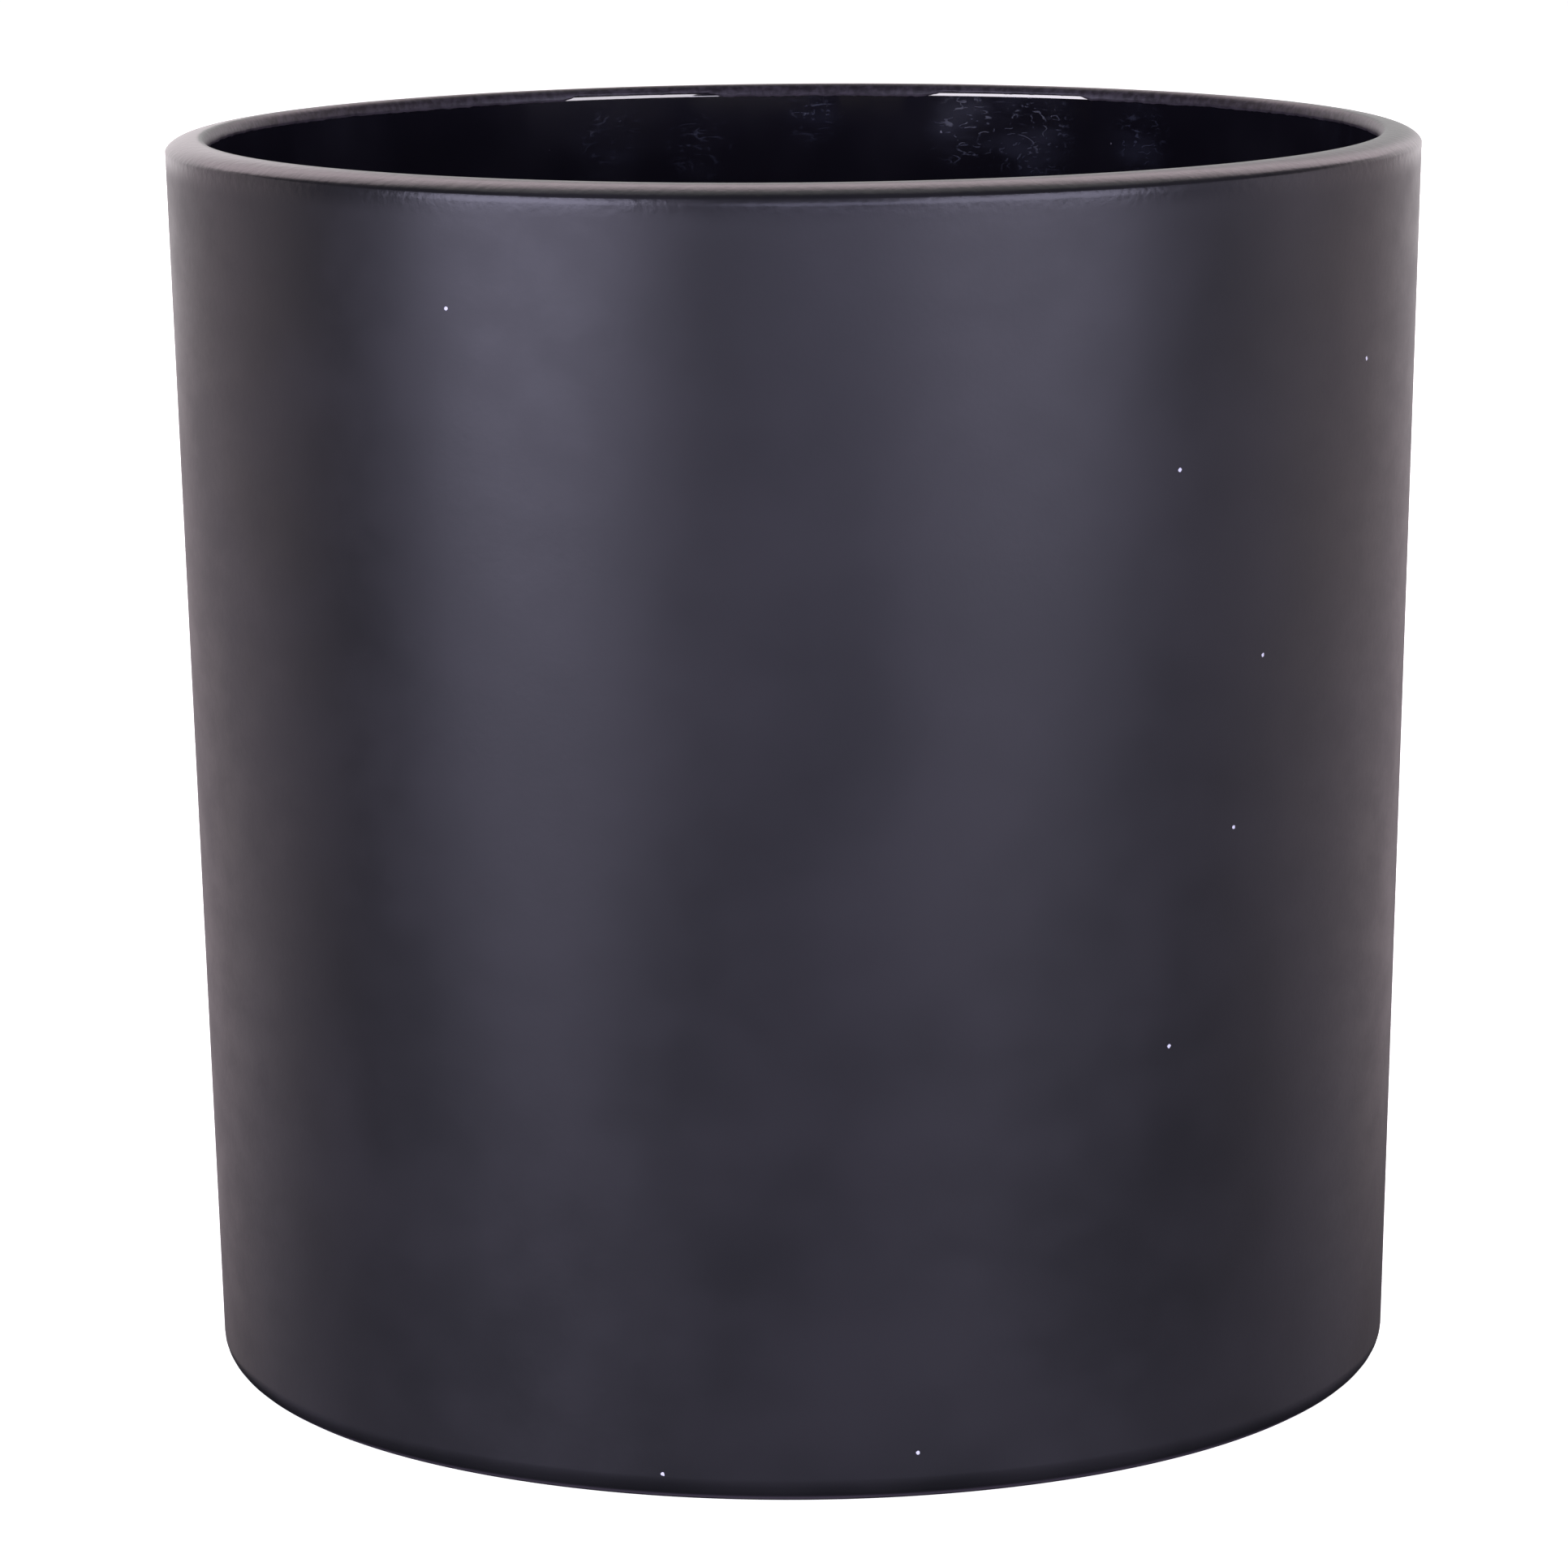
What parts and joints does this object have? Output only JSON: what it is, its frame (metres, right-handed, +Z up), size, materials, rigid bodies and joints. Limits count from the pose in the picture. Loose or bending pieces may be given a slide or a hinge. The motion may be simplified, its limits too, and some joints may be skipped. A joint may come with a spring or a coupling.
{
  "type": "candle jar",
  "caption": "Empty round candle jar: slightly tapered black glass vessel with a thick floor and rounded rim, matte lacquered outside and glossy inside.",
  "frame": {"origin": "on the jar's axis at the level of the flat ring that it stands on", "axes": "+Z up along the jar's axis, from the base to the mouth; the jar is round, so +X and +Y are free"},
  "size_m": [0.09, 0.09, 0.0896],
  "materials": {
    "black_glass": "glossy, fire-polished, opaque",
    "matte_black_lacquer": "matte sprayed lacquer with a fine even texture"
  },
  "bodies": {
    "root": {"glass_vessel": "black_glass", "matte_coating": "matte_black_lacquer"}
  },
  "joints": []
}
